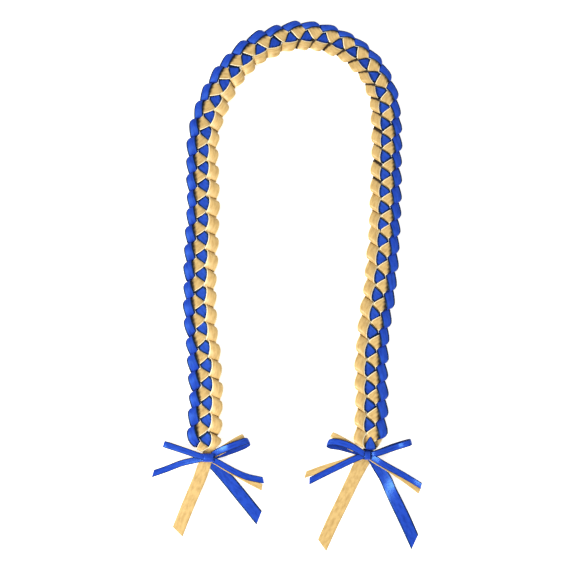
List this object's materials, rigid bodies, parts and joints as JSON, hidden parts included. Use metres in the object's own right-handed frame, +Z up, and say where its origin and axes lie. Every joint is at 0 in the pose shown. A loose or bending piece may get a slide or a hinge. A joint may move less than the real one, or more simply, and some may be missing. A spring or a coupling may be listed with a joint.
{
  "type": "braided ribbon honor cord",
  "caption": "Braided ribbon honor cord in blue and gold satin, laid as an inverted U, each end gathered under a narrow ribbon bow with two wide slant-cut tails.",
  "frame": {"origin": "under the middle of the lei's bounding box, on the surface that it lies on", "axes": "+X to the right seen from above, +Y towards the closed top of the U, +Z up from the surface"},
  "size_m": [0.2698, 0.532, 0.0108],
  "materials": {
    "blue_satin": "satin ribbon, royal blue",
    "gold_satin": "satin ribbon, pale gold"
  },
  "bodies": {
    "root": {"gold_ribbon": "gold_satin", "blue_ribbon": "blue_satin", "left_bow_blue": "blue_satin", "left_bow_gold": "gold_satin", "right_bow_blue": "blue_satin", "right_bow_gold": "gold_satin"}
  },
  "joints": []
}
